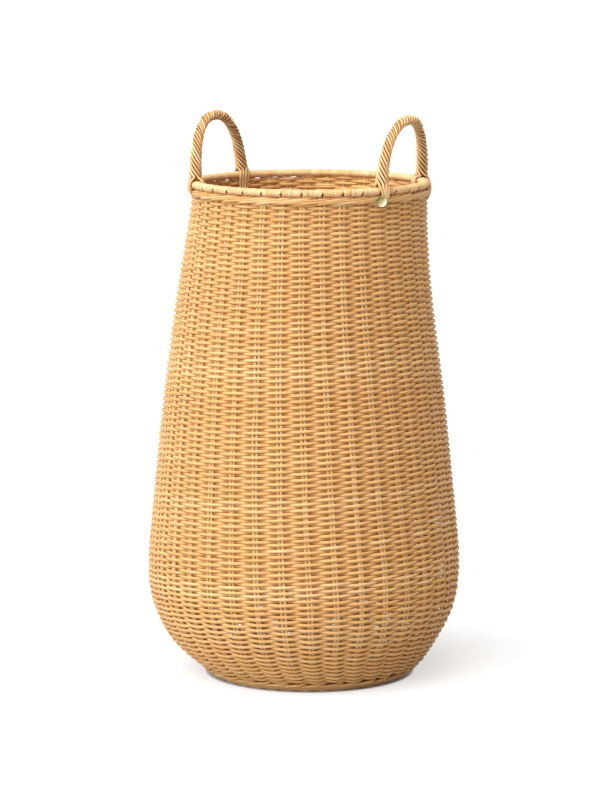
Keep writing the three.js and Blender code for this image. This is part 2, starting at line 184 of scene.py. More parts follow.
# Strands
def drift(count, step, amount):
    """Slow random variation: a value at every so many samples, with smooth ways between them."""
    knots = rng.normal(0, amount, count // step + 3)
    place = np.arange(count) / step
    index = place.astype(int)
    t = place - index
    ease = t * t * (3 - 2 * t)
    return knots[index] * (1 - ease) + knots[index + 1] * ease


def unit(vectors):
    return vectors / np.linalg.norm(vectors, axis=-1, keepdims=True)


def strand(path, normal, radius, tone, closed=False, sides=SIDES, flatness=1.0, along_start=0.0, painted_shade=0.0):
    """A round or flattened tube along a path, whose own up is the normal, with the coordinates of its grain.

    Painted shade deepens its tone from its top to its underside, by the amount that its last argument gives.
    """
    count = len(path)
    if closed:
        tangent = unit(np.roll(path, -1, axis=0) - np.roll(path, 1, axis=0))
    else:
        tangent = unit(np.gradient(path, axis=0))
    side = unit(np.cross(tangent, normal))
    up = np.cross(side, tangent)
    angle = 2 * np.pi * np.arange(sides) / sides
    radius = np.broadcast_to(radius, count)[:, None, None]
    across = np.cos(angle)[None, :, None] * radius
    height = np.sin(angle)[None, :, None] * radius * flatness
    rings = path[:, None] + across * side[:, None] + height * up[:, None]
    length = np.concatenate([[0], np.cumsum(np.linalg.norm(np.diff(path, axis=0), axis=1))]) + along_start
    grain = np.empty((count, sides, 3))
    grain[..., 0] = length[:, None]
    grain[..., 1] = across[..., 0]
    grain[..., 2] = height[..., 0]
    # Painted shade: the strand's sides and underside are darkened in its tone
    underside_darkening = painted_shade * (1 - np.sin(angle)) / 2
    tones = np.broadcast_to(np.reshape(tone, (-1, 1)), (count, sides)) - underside_darkening
    return {
        "points": rings.reshape(-1, 3),
        "quads": tube_quads(count, sides, closed),
        "grain": grain.reshape(-1, 3),
        "tone": tones.reshape(-1),
    }


def tube_quads(count, sides, closed):
    """Faces of a tube of so many rings. An open tube has a fan of quads over each end."""
    last = count if closed else count - 1
    ring = np.arange(last)[:, None] * sides
    after = (np.arange(1, last + 1)[:, None] % count) * sides
    place = np.arange(sides)[None, :]
    next_place = (place + 1) % sides
    quads = np.stack([ring + place, ring + next_place, after + next_place, after + place], axis=-1)
    quads = quads.reshape(-1, 4)
    if closed:
        return quads
    cap = np.array([[0, 2 * j + 1, 2 * j, 2 * j - 1] for j in range(1, sides // 2)])
    far_cap = cap[:, ::-1] + (count - 1) * sides
    return np.vstack([quads, cap, far_cap])


def joined(parts):
    offsets = np.cumsum([0] + [len(part["points"]) for part in parts[:-1]])
    return {
        "points": np.vstack([part["points"] for part in parts]),
        "quads": np.vstack([part["quads"] + offset for part, offset in zip(parts, offsets)]),
        "grain": np.vstack([part["grain"] for part in parts]),
        "tone": np.concatenate([part["tone"] for part in parts]),
    }


def piece(name, part, material, nodes):
    """Makes the mesh of a part, rides it on the basket and lets it stand for its nodes of the frame."""
    mesh = bpy.data.meshes.new(name)
    points, quads = part["points"] * MM, part["quads"]
    mesh.vertices.add(len(points))
    mesh.vertices.foreach_set("co", points.astype(np.float32).ravel())
    mesh.loops.add(quads.size)
    mesh.loops.foreach_set("vertex_index", quads.astype(np.int32).ravel())
    mesh.polygons.add(len(quads))
    mesh.polygons.foreach_set("loop_start", np.arange(0, quads.size, 4, dtype=np.int32))
    mesh.update(calc_edges=True)
    mesh.polygons.foreach_set("use_smooth", np.ones(len(quads), bool))
    grain = mesh.attributes.new("grain", "FLOAT_VECTOR", "POINT")
    grain.data.foreach_set("vector", (part["grain"] * MM).astype(np.float32).ravel())
    tone = mesh.attributes.new("tone", "FLOAT", "POINT")
    tone.data.foreach_set("value", part["tone"].astype(np.float32))
    mesh.materials.append(material)
    made = bpy.data.objects.new(name, mesh)
    bpy.context.scene.collection.objects.link(made)
    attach(made, "root")
    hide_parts(*nodes)
    return made


# Materials: blotches and fibres come so often per metre along a strand and across it
BLOTCHES = (22, 120, 120)
BLOTCH_SHARE = 0.55
DARK_AT = 0.2
MIDDLE_AT = 0.75
FIBRES = (70, 2600, 2600)
FIBRE_RANGE = (0.3, 0.7)
FIBRE_SHADES = (0.86, 1.08)
FIBRE_BUMP = 0.5
RATTAN_GLOSS = 0.15
TONE_SHIFT = 7


def linear(red, green, blue):
    """A colour as the eye reads it on screen, 0 to 255, as linear light."""
    share = np.array([red, green, blue]) / 255
    light = np.where(share <= 0.04045, share / 12.92, ((share + 0.055) / 1.055) ** 2.4)
    return (*light, 1)


def new_material(name, roughness):
    """An empty material of nodes: gives it, its nodes and links, and its shader."""
    material = bpy.data.materials.new(name)
    material.use_nodes = True
    nodes, links = material.node_tree.nodes, material.node_tree.links
    shader = nodes["Principled BSDF"]
    shader.inputs["Roughness"].default_value = roughness
    return material, nodes, links, shader


def strand_place(nodes, links, tone):
    """Place on a strand for its noise: its grain's coordinates, shifted by its own tone."""
    grain = nodes.new("ShaderNodeAttribute")
    grain.attribute_name = "grain"
    spread = nodes.new("ShaderNodeVectorMath")
    spread.operation = "SCALE"
    spread.inputs["Scale"].default_value = TONE_SHIFT
    links.new(tone, spread.inputs[0])
    shift = nodes.new("ShaderNodeVectorMath")
    shift.operation = "ADD"
    links.new(grain.outputs["Vector"], shift.inputs[0])
    links.new(spread.outputs["Vector"], shift.inputs[1])
    return shift.outputs["Vector"]


def noise(nodes, links, place, stretch, detail, rough):
    stretched = nodes.new("ShaderNodeVectorMath")
    stretched.operation = "MULTIPLY"
    stretched.inputs[1].default_value = stretch
    links.new(place, stretched.inputs[0])
    texture = nodes.new("ShaderNodeTexNoise")
    texture.inputs["Scale"].default_value = 1
    texture.inputs["Detail"].default_value = detail
    texture.inputs["Roughness"].default_value = rough
    links.new(stretched.outputs["Vector"], texture.inputs["Vector"])
    return texture.outputs["Fac"]


def strand_colour(nodes, links, tone, blotch, dark, middle, pale):
    """Colour from dark to pale by the strand's tone and its blotches."""
    mix = nodes.new("ShaderNodeMath")
    mix.operation = "MULTIPLY_ADD"
    mix.inputs[1].default_value = BLOTCH_SHARE
    links.new(blotch, mix.inputs[0])
    links.new(tone, mix.inputs[2])
    ramp = nodes.new("ShaderNodeValToRGB")
    ramp.color_ramp.elements[0].position = DARK_AT
    ramp.color_ramp.elements[0].color = linear(*dark)
    ramp.color_ramp.elements[1].position = 1
    ramp.color_ramp.elements[1].color = linear(*pale)
    centre = ramp.color_ramp.elements.new(MIDDLE_AT)
    centre.color = linear(*middle)
    links.new(mix.outputs["Value"], ramp.inputs["Fac"])
    return ramp.outputs["Color"]


def streaked(nodes, links, colour, fibre):
    """The colour, darker and paler from fibre to fibre."""
    streak = nodes.new("ShaderNodeMapRange")
    streak.inputs["From Min"].default_value = FIBRE_RANGE[0]
    streak.inputs["From Max"].default_value = FIBRE_RANGE[1]
    streak.inputs["To Min"].default_value = FIBRE_SHADES[0]
    streak.inputs["To Max"].default_value = FIBRE_SHADES[1]
    links.new(fibre, streak.inputs["Value"])
    shaded = nodes.new("ShaderNodeVectorMath")
    shaded.operation = "SCALE"
    links.new(colour, shaded.inputs[0])
    links.new(streak.outputs["Result"], shaded.inputs["Scale"])
    return shaded.outputs["Vector"]


def rattan(name, dark, middle, pale, roughness, grain_depth):
    """Satin rattan: each strand has its own tone, blotches along it, and fine fibres that follow it."""
    material, nodes, links, shader = new_material(name, roughness)
    shader.inputs["Specular IOR Level"].default_value = RATTAN_GLOSS
    tone = nodes.new("ShaderNodeAttribute")
    tone.attribute_name = "tone"
    tone = tone.outputs["Fac"]
    place = strand_place(nodes, links, tone)
    blotch = noise(nodes, links, place, BLOTCHES, detail=3, rough=0.6)
    fibre = noise(nodes, links, place, FIBRES, detail=2, rough=0.55)
    colour = strand_colour(nodes, links, tone, blotch, dark, middle, pale)
    links.new(streaked(nodes, links, colour, fibre), shader.inputs["Base Color"])
    bump = nodes.new("ShaderNodeBump")
    bump.inputs["Strength"].default_value = FIBRE_BUMP
    bump.inputs["Distance"].default_value = grain_depth * MM
    links.new(fibre, bump.inputs["Height"])
    links.new(bump.outputs["Normal"], shader.inputs["Normal"])
    return material


WEAVE = rattan("rattan_weave", (196, 132, 68), (226, 177, 115), (245, 215, 170), 0.42, 0.12)
STICK = rattan("rattan_stick", (228, 180, 116), (242, 204, 146), (250, 222, 174), 0.45, 0.05)
CANE = rattan("rattan_cane", (204, 146, 86), (242, 200, 145), (249, 220, 174), 0.42, 0.1)
ROPE = rattan("rattan_rope", (158, 98, 46), (227, 180, 122), (244, 213, 166), 0.44, 0.12)


# Wall: one weaver that climbs in a spiral, over one pair of stakes and under the next
WALL_START = 12.6
WALL_END = 610.6
WALL_PIECES = 4
HEIGHT_STEP = 0.4
SEAM_STAKE = 19
LEVEL_ROWS = 24
LEVEL_POWER = 14
ROW_PITCH_LOW = 3.78
ROW_PITCH_HIGH = 3.62
STEPS_PER_STAKE = 6
# How far the rows run up to the right of the camera and down to the left: height, and distance
ROW_TILT = np.array([
    (0, 0),
    (60, 0),
    (150, 11),
    (350, 10),
    (560, 4.5),
    (WALL_END, 0),
])

# Weaver: its section, how unevenly it lies, and the lengths of rattan in it, each with its own tone
WEAVER_RADIUS = 2.2
WEAVER_FLATNESS = 0.86
WEAVER_REACH = 3.1
OVER_FLATNESS = 0.3
# Painted shade on the weaver's sides and underside
WEAVER_PAINTED_SHADE = 0.12
LIFT_DRIFT = 0.16
REACH_DRIFT = 0.12
THICKNESS_DRIFT = 0.03
THICKNESS_STAKES = 40
GRAIN_PER_STAKE = 30
LENGTH_STAKES = (20, 75)
LENGTH_TONE = 0.45
LENGTH_TONE_SPREAD = 0.045
LENGTH_TONES = (0.34, 0.56)


def wall_rows():
    """Heights of the wall and how many rows of weaving lie below each: a whole number in all."""
    heights = np.arange(WALL_START, WALL_END + HEIGHT_STEP / 2, HEIGHT_STEP)
    radial, upward = wall_normal(heights)
    middle = np.stack([
        outer_radius(heights) - WALL_THICKNESS / 2 * radial,
        heights - WALL_THICKNESS / 2 * upward,
    ])
    steps = np.hypot(*np.diff(middle, axis=1))
    share = heights / WALL_END
    pitch = ROW_PITCH_LOW + (ROW_PITCH_HIGH - ROW_PITCH_LOW) * share**2
    rows = np.concatenate([[0], np.cumsum(steps / pitch[1:])])
    return heights, rows * round(rows[-1]) / rows[-1]


def level_ends(rounds, total):
    """Rounds of weaving as rows: an even spiral in the middle, and level rows at the foot and the rim."""
    row = np.minimum(np.floor(rounds), total)
    edge = np.clip(1 - np.minimum(row, total - row) / LEVEL_ROWS, 0, 1)
    climbed = (rounds - row) ** (LEVEL_POWER**edge)
    return np.minimum(row + climbed, total)


def over_under(turn):
    """Place across the wall at a turn counted in stakes: 1 outside a stake and -1 inside one."""
    wave = np.cos(np.pi * turn)
    return (1 - OVER_FLATNESS) * wave + OVER_FLATNESS * np.sin(np.pi / 2 * wave)


def weaver_tones(stakes):
    """Tone of the weaver at each stake."""
    tones = np.empty(stakes + 2)
    place = 0
    while place < len(tones):
        run = int(rng.integers(*LENGTH_STAKES))
        tones[place : place + run] = np.clip(rng.normal(LENGTH_TONE, LENGTH_TONE_SPREAD), *LENGTH_TONES)
        place += run
    return tones


def make_wall():
    heights, rows = wall_rows()
    total = int(round(rows[-1]))
    last = (total + 1) * STAKES
    bounds = np.linspace(0, last, WALL_PIECES + 1).astype(int)
    count = last * STEPS_PER_STAKE + 1
    lift = drift(count, STEPS_PER_STAKE, LIFT_DRIFT)
    reach = WEAVER_REACH + drift(count, STEPS_PER_STAKE, REACH_DRIFT)
    thickness = WEAVER_RADIUS * (1 + drift(count, THICKNESS_STAKES * STEPS_PER_STAKE, THICKNESS_DRIFT))
    tone = weaver_tones(last)
    for index in range(WALL_PIECES):
        steps = np.arange(bounds[index] * STEPS_PER_STAKE, bounds[index + 1] * STEPS_PER_STAKE + 1)
        turn = steps / STEPS_PER_STAKE
        azimuth = FIRST_STAKE + STAKE_PITCH * (turn + SEAM_STAKE)
        height = np.interp(level_ends(turn / STAKES, total), rows, heights)
        across = np.sin(np.radians(azimuth + twist_at(height) - VIEW_AZIMUTH))
        height = height + np.interp(height, *ROW_TILT.T) * across + lift[steps]
        path, normal = wall_points(height, azimuth, reach[steps] * over_under(turn))
        part = strand(
            path,
            normal,
            thickness[steps],
            tone[turn.astype(int)],
            flatness=WEAVER_FLATNESS,
            along_start=turn[0] * GRAIN_PER_STAKE,
            painted_shade=WEAVER_PAINTED_SHADE,
        )
        piece("wall_weave_" + str(index + 1), part, WEAVE, ["wall_weave"])


# Stakes: pairs of rods in the middle of the wall, up into the rim
ROD_RADIUS = 1.85
ROD_SPACING = 4.3
ROD_WANDER = 0.35
ROD_WANDER_STEPS = 6
ROD_TONES = (0.3, 0.8)
STAKE_LOW = 8
STAKE_HIGH = RIM_HEIGHT + RIM_HALF_HEIGHT - 2.5
STAKE_BEND_END = 120
STAKE_BEND_STEP = 4
STAKE_RISE_STEP = 8
STAKE_LEAN_START = 600


def make_stakes():
    parts = []
    bend = np.arange(STAKE_LOW, STAKE_BEND_END, STAKE_BEND_STEP)
    rise = np.arange(STAKE_BEND_END, STAKE_HIGH, STAKE_RISE_STEP)
    heights = np.concatenate([bend, rise, [STAKE_HIGH]])
    for index in range(STAKES):
        azimuth = FIRST_STAKE + STAKE_PITCH * index
        for side in (-1, 1):
            wander = drift(len(heights), ROD_WANDER_STEPS, ROD_WANDER)
            offset = side * ROD_SPACING / 2 + wander
            turned = azimuth + np.degrees(offset / outer_radius(heights))
            lean = np.clip((heights - STAKE_LEAN_START) / (RIM_HEIGHT - STAKE_LEAN_START), 0, 1)
            out = lean * (RIM_RADIUS - outer_radius(heights) + WALL_THICKNESS / 2)
            path, normal = wall_points(heights, turned, out)
            parts.append(strand(path, normal, ROD_RADIUS, rng.uniform(*ROD_TONES)))
    piece("stake_pairs", joined(parts), STICK, ["stakes"])


# Waled borders: every strand goes outside three stakes as it rises, then inside one as it drops
WALE_STAKES = 4
WALE_STEPS = 8
WALE_LENGTHS = 24


def wale_part(place, radius, reach, tones):
    """A closed four-rod wale. place turns a share of the band's height into points on the wall."""
    turn = np.arange(STAKES * WALE_STAKES * WALE_STEPS) / WALE_STEPS
    phase = (turn / WALE_STAKES) % 1
    near = np.minimum(phase, 1 - phase) * WALE_STAKES
    across = np.where(near < 1, -np.cos(np.pi * near), 1)
    # The strand drops within half a stake to either side of the one that it passes inside
    half = 0.5 / WALE_STAKES
    rising = np.clip((phase - half) / (1 - 2 * half), 0, 1)
    back = np.where(phase < 0.5, phase, phase - 1)
    dropping = 0.5 - back / (2 * half)
    rise = np.where(np.abs(back) < half, dropping, rising)
    azimuth = FIRST_STAKE + STAKE_PITCH * turn
    outside, behind = reach
    path, normal = place(rise, azimuth, np.where(across > 0, outside, behind) * across)
    tone = tones[(turn / (2 * WALE_STAKES)).astype(int) % len(tones)]
    return strand(path, normal, radius, tone, closed=True)


TOP_WALE_LOW = 615.2
TOP_WALE_HIGH = 622.8
TOP_WALE_RADIUS = 1.65
TOP_WALE_REACH = (4.6, 2.2)
TOP_WALE_TONES = (0.22, 0.58)
LINING_ROWS = 3
LINING_PITCH = 3.6
LINING_LEAD = 6
LINING_DRAWN_IN = 0.5
LINING_TONE = 0.45


def lining_part():
    """The wall's spiral goes on behind the wale, with its outer turns drawn in.

    It starts a few stakes before the wall's end, where it climbs to its own level.
    """
    steps = np.arange(-LINING_LEAD * STEPS_PER_STAKE, LINING_ROWS * STAKES * STEPS_PER_STAKE + 1)
    turn = steps / STEPS_PER_STAKE
    row = np.floor(turn / STAKES)
    height = WALL_END + LINING_PITCH * (1 + row + (turn / STAKES - row) ** LEVEL_POWER)
    wave = over_under(turn + int(round(wall_rows()[1][-1])) + 1)
    out = np.where(wave > 0, LINING_DRAWN_IN, 1) * WEAVER_REACH * wave
    path, normal = rim_points(height, FIRST_STAKE + STAKE_PITCH * (turn + SEAM_STAKE), out)
    return strand(path, normal, WEAVER_RADIUS, LINING_TONE, flatness=WEAVER_FLATNESS)


def make_top_wale():
    def place(rise, azimuth, out):
        return rim_points(TOP_WALE_LOW + (TOP_WALE_HIGH - TOP_WALE_LOW) * rise, azimuth, out)

    tones = rng.uniform(*TOP_WALE_TONES, WALE_LENGTHS)
    wale = wale_part(place, TOP_WALE_RADIUS, TOP_WALE_REACH, tones)
    piece("top_wale_strands", joined([wale, lining_part()]), WEAVE, ["top_wale"])


FOOT_WALE_LOW = 0.5
FOOT_WALE_HIGH = 10.4
FOOT_ROD_RADIUS = 1.65
FOOT_ROD_SPACING = 3.1
FOOT_REACH = (4.4, 2.6)
FOOT_TONES = (0.3, 0.55)
FOOT_LINING_HEIGHTS = (3.2, 6, 8.8)
FOOT_LINING_OUT = -2
FOOT_LINING_RADIUS = FOOT_ROD_RADIUS + 0.5
# Painted shade: the rounds behind the border are dark in tone, so its gaps show dark
FOOT_LINING_PAINTED_SHADE_TONE = 0.2
ROUND_STEPS = 4 * STAKES


def foot_rod(side):
    """One rod of each pair in the foot's wale, which stays above the floor."""

    def place(rise, azimuth, out):
        height = FOOT_WALE_LOW + (FOOT_WALE_HIGH - FOOT_WALE_LOW) * rise
        radial, upward = wall_normal(height)
        points, normal = wall_points(height, azimuth, out)
        along = polar(-upward, azimuth, radial)
        points = points + side * FOOT_ROD_SPACING / 2 * along
        points[:, 2] = np.maximum(points[:, 2], FOOT_ROD_RADIUS)
        return points, normal

    tones = rng.uniform(*FOOT_TONES, WALE_LENGTHS)
    return wale_part(place, FOOT_ROD_RADIUS, FOOT_REACH, tones)


def make_foot():
    parts = [foot_rod(side) for side in (-1, 1)]
    # Plain rounds behind the border close it against the wall's first row
    azimuth = 360 * np.arange(ROUND_STEPS) / ROUND_STEPS
    for height in FOOT_LINING_HEIGHTS:
        path, normal = wall_points(height + 0 * azimuth, azimuth, FOOT_LINING_OUT)
        # Painted shade: these rounds take a dark tone, so the border's gaps show dark
        parts.append(strand(path, normal, FOOT_LINING_RADIUS, FOOT_LINING_PAINTED_SHADE_TONE, closed=True))
    piece("foot_border_strands", joined(parts), WEAVE, ["foot_border"])


# Base: twelve crossed sticks that open into spokes, with two weavers that chase each other round them
BASE_EDGE_HEIGHT = 16.6
BASE_DOME = 12
BASE_EDGE = 120
BASE_SPOKES = 24
SPOKE_SPREAD = 360 / BASE_SPOKES
BASE_TURN = SPOKE_SPREAD / 2
HUB_HALF = 14
HUB_STRAIGHT = 0.8
HUB_REACH = 30
BASE_STICKS_EACH_WAY = 6
BASE_STICK_RADIUS = 2.2
BASE_STICK_FLATNESS = 0.6
BASE_STICK_LIFT = 1.5
BASE_STICK_TONES = (0.3, 0.7)
SPOKE_REACHES = (55, 90, BASE_EDGE - 2)
SPOKE_STEPS = 4
BASE_WEAVE_START = HUB_REACH + 6
BASE_WEAVER_RADIUS = 1.45
BASE_WEAVER_SIDES = 6
BASE_REACH = 2.4
BASE_ROW_PITCH = 3
BASE_STEPS = 5
BASE_DRIFT = 0.1
BASE_TONE = 0.45
BASE_TONE_DRIFT = 0.06
BASE_TONE_SPOKES = 60
HUB_BINDING_START = HUB_REACH - 4
HUB_BINDING_LIFT = 3.4
HUB_BINDING_STEPS = 96
HUB_BINDING_SQUEEZE = 1.4
HUB_BINDING_TONE = 0.5
HUB_ROUNDS = 3


def base_points(across, along, out):
    """Points and normals of the domed base, at a distance above the middle of its thickness."""
    share = np.clip(np.hypot(across, along) / BASE_EDGE, 0, 1)
    points = np.stack([across, along, BASE_EDGE_HEIGHT + BASE_DOME * (1 - share**2) + out], axis=-1)
    return swayed(points, 0), np.broadcast_to(np.array([0, 0, 1]), points.shape)


def stick_route(rank):
    """A stick from end to end: beside its neighbours in the hub, and spread as a spoke beyond it."""
    angle = np.radians(rank * SPOKE_SPREAD)
    offset = rank * 2 * HUB_HALF / (BASE_STICKS_EACH_WAY - 1)
    half = [(0, offset), (HUB_STRAIGHT * HUB_HALF, offset), (HUB_REACH, HUB_REACH * np.sin(angle))]
    half += [(reach * np.cos(angle), reach * np.sin(angle)) for reach in SPOKE_REACHES]
    right = np.array(half)
    left = right[:0:-1] * [-1, 1]
    return smooth_curve(np.vstack([left, right]), SPOKE_STEPS)


def make_base_sticks():
    sticks = []
    for way, level in ((0, -1), (90, 1)):
        turned = np.radians(way + BASE_TURN + twist_at(0))
        for index in range(BASE_STICKS_EACH_WAY):
            route = stick_route(index - (BASE_STICKS_EACH_WAY - 1) / 2)
            across = route[:, 0] * np.cos(turned) - route[:, 1] * np.sin(turned)
            along = route[:, 0] * np.sin(turned) + route[:, 1] * np.cos(turned)
            near_hub = np.clip(1 - np.abs(route[:, 0]) / (2 * HUB_HALF), 0, 1)
            path, normal = base_points(across, along, level * BASE_STICK_LIFT * np.sqrt(near_hub))
            tone = rng.uniform(*BASE_STICK_TONES)
            sticks.append(strand(path, normal, BASE_STICK_RADIUS, tone, flatness=BASE_STICK_FLATNESS))
    piece("base_spokes", joined(sticks), STICK, ["base_sticks"])


def base_strand(reach, angle, out, tone):
    path, normal = base_points(reach * np.cos(angle), reach * np.sin(angle), out)
    return strand(path, normal, BASE_WEAVER_RADIUS, tone, sides=BASE_WEAVER_SIDES)


def make_base_weave():
    weavers = []
    rounds = (BASE_EDGE - BASE_WEAVE_START) / (2 * BASE_ROW_PITCH)
    count = int(rounds * BASE_SPOKES * BASE_STEPS)
    turn = np.arange(count) / BASE_STEPS
    for side in (0, 1):
        wander = drift(count, BASE_STEPS, BASE_DRIFT)
        reach = BASE_WEAVE_START + BASE_ROW_PITCH * (2 * turn / BASE_SPOKES + side) + wander
        angle = np.radians(SPOKE_SPREAD * turn + BASE_TURN + 180 * side + twist_at(0))
        out = BASE_REACH * over_under(turn + side + BASE_SPOKES * side / 2)
        tone = BASE_TONE + drift(count, BASE_TONE_SPOKES * BASE_STEPS, BASE_TONE_DRIFT)
        weavers.append(base_strand(reach, angle, out, tone))
    # Two strands bind the hub, each above the sticks of one way and below those of the other
    angle = 2 * np.pi * np.arange(HUB_BINDING_STEPS * HUB_ROUNDS) / HUB_BINDING_STEPS
    for side in (1, -1):
        rows = (angle / np.pi + (side > 0)) / HUB_BINDING_SQUEEZE
        out = side * HUB_BINDING_LIFT * np.cos(2 * (angle - np.radians(BASE_TURN + twist_at(0))))
        reach = HUB_BINDING_START + BASE_ROW_PITCH * rows
        weavers.append(base_strand(reach, angle, out, HUB_BINDING_TONE))
    piece("base_weavers", joined(weavers), WEAVE, ["base_weave"])


# Rim: two hoops bound with flat cane, which opens in a slit at every stake
WRAPS_PER_STAKE = 9
WRAP_STEPS = 20
WRAP_START = 0.633
CANE_WIDTH = 2.68
CANE_THICKNESS = 0.9
CANE_SWELL = 0.1
CANE_TONE = 0.52
CANE_TONE_DRIFT = 0.12
# Painted shade on the cane's edges and inner face, for dark lines between the wraps
CANE_PAINTED_SHADE = 0.45
SLIT_FACE = 30
SLIT_PUSH = 2
SLIT_FADE = 4.5
SLIT_SHARPNESS = 4
HOOPS = {"rim_hoop_outer": 3.2, "rim_hoop_inner": -3.2}
HOOP_LIFT = 1.6
HOOP_RADIUS = 1.9
HOOP_FLATNESS = 0.75


def make_rim_binding():
    turns = STAKES * WRAPS_PER_STAKE
    count = turns * WRAP_STEPS
    turn = np.arange(count) / WRAP_STEPS
    section = 2 * np.pi * turn
    spacing = 2 * np.pi * RIM_RADIUS / turns
    # The cane is pushed aside at each stake, most at the lower outer side, where two wraps flank the stake
    shifted = turn + WRAP_START
    from_stake = ((shifted / WRAPS_PER_STAKE + 0.5) % 1 - 0.5) * WRAPS_PER_STAKE * spacing
    low_face = np.clip(np.cos(section + np.radians(SLIT_FACE)), 0, 1) ** SLIT_SHARPNESS
    push = SLIT_PUSH * np.sign(from_stake) * np.exp(-np.abs(from_stake) / SLIT_FADE) * low_face
    azimuth = FIRST_STAKE + 360 * shifted / turns + np.degrees(push / RIM_RADIUS)
    swell = drift(count, WRAP_STEPS, CANE_SWELL)
    half_width = RIM_HALF_WIDTH - CANE_THICKNESS / 2 + swell
    half_height = RIM_HALF_HEIGHT - CANE_THICKNESS / 2 + swell
    path, _ = rim_points(RIM_HEIGHT + half_height * np.sin(section), azimuth, half_width * np.cos(section))
    normal = polar(np.cos(section) / half_width, azimuth, np.sin(section) / half_height)
    part = strand(
        path,
        unit(normal),
        CANE_WIDTH / 2,
        np.clip(CANE_TONE + drift(count, WRAP_STEPS, CANE_TONE_DRIFT), 0, 1),
        closed=True,
        flatness=CANE_THICKNESS / CANE_WIDTH,
        painted_shade=CANE_PAINTED_SHADE,
    )
    piece("rim_binding_cane", part, CANE, ["rim_binding"])


def make_rim_hoops():
    azimuth = 360 * np.arange(ROUND_STEPS) / ROUND_STEPS
    for name, out in HOOPS.items():
        path, normal = rim_points(RIM_HEIGHT + HOOP_LIFT, azimuth, out + 0 * azimuth)
        hoop = strand(path, normal, HOOP_RADIUS, 0, closed=True, flatness=HOOP_FLATNESS)
        piece(name + "_rod", hoop, STICK, [name])


# Handles: strands laid round a core, straddling the rim
STRANDS = 8
ARCH_POWER = 2.4
ARCH_STEPS = 800
ROUTE_STEPS = 240
SPLIT_HEIGHT = 638
FLARE_HEIGHT = 664
CORE_RADIUS = 3.9
CORE_FOOT = RIM_HEIGHT + RIM_HALF_HEIGHT - 1

# Lay: the strands turn faster over the crown, lie closer to the middle there and swell out near the rim
LAY_TURNS = 5.75
LEG_RATE = 0.8
CROWN_RATE = 0.5
CROWN_LAY = 5.15
LEG_LAY = 5.5
FOOT_LAY = 6.3
FOOT_SHARE = 0.16
CROWN_SINK = 0.95
# Painted shade: strands that sink over the crown are darker in tone by this much
CROWN_PAINTED_SHADE = 0.4

# Strands: their section, and their tones
STRAND_SQUEEZE = 0.7
STRAND_HEIGHT = 1.5
STRAND_HALF_WIDTHS = (0.9, 1.75)
TAIL_HALF_WIDTH = 1.5
TAIL_STEPS = 6
ROPE_TONES = (0.48, 0.9)
# Painted shade on the strands' sides and undersides, for dark grooves between them
ROPE_PAINTED_SHADE = 0.62

# Stations of the strands' tails, from the rope down past the rim
OUTER_TAIL = [
    {"height": 634, "reach": 7, "spacing": 3.9, "shift": -0.6},
    {"height": 629, "reach": 8.4, "spacing": 3.2, "shift": 0},
    {"height": 624, "reach": 8.2, "spacing": 2.7, "shift": 0.3},
    {"height": 619.5, "reach": 6.8, "spacing": 2.2, "shift": 0.3},
]
INNER_TAIL = [
    {"height": 634, "reach": 6.4, "spacing": 3.7, "shift": -1.5},
    {"height": 629, "reach": 8.2, "spacing": 3.7, "shift": -2.8},
    {"height": 621, "reach": 7.4, "spacing": 3.7, "shift": -3.4},
    {"height": 606, "reach": 6.6, "spacing": 3.7, "shift": -3.4},
]


def arch_route(handle):
    """Middle of the rope: a squarish arch that leans out at its crown and flares where it meets the rim."""
    rise = TOP_HEIGHT - CROWN_LAY - STRAND_HEIGHT - RIM_HEIGHT
    angle = np.linspace(0, np.pi, ARCH_STEPS + 1)
    power = 2 / ARCH_POWER
    up = np.abs(np.sin(angle)) ** power
    height = RIM_HEIGHT + rise * up
    near_rim = np.clip((FLARE_HEIGHT - height) / (FLARE_HEIGHT - RIM_HEIGHT), 0, 1)
    first, last = handle["legs"][-1], handle["legs"][1]
    flare = np.where(angle < np.pi / 2, first["flare"], last["flare"])
    span = handle["half_span"] + flare * near_rim**2
    across = -np.sign(np.cos(angle)) * np.abs(np.cos(angle)) ** power * span
    plane = np.sqrt(RIM_RADIUS**2 - span**2) + handle["lean"] * up**2
    points = np.stack([plane, across, height], axis=1)
    return resampled(points[points[:, 2] >= SPLIT_HEIGHT], ROUTE_STEPS + 1)


def resampled(points, count):
    length = np.concatenate([[0], np.cumsum(np.linalg.norm(np.diff(points, axis=0), axis=1))])
    wanted = np.linspace(0, length[-1], count)
    return np.stack([np.interp(wanted, length, points[:, axis]) for axis in range(3)], axis=1)


def smooth_curve(points, per_span):
    """A smooth curve through the points, with so many samples between each two."""
    padded = np.vstack([2 * points[0] - points[1], points, 2 * points[-1] - points[-2]])
    spans = []
    t = (np.arange(per_span) / per_span)[:, None]
    for a, b, c, d in zip(padded[:-3], padded[1:-2], padded[2:-1], padded[3:]):
        square = 2 * a - 5 * b + 4 * c - d
        cube = 3 * b - a - 3 * c + d
        spans.append(0.5 * (2 * b + (c - a) * t + square * t**2 + cube * t**3))
    return np.vstack([*spans, points[-1:]])


def leg_frame(handle, end):
    """Foot of a leg on the rim's middle circle, the direction outwards there and the one round the rim."""
    span = handle["half_span"] + handle["legs"][end]["flare"]
    foot = np.array([np.sqrt(RIM_RADIUS**2 - span**2), end * span, 0])
    outward = unit(foot)
    return foot, outward, np.array([-outward[1], outward[0], 0])


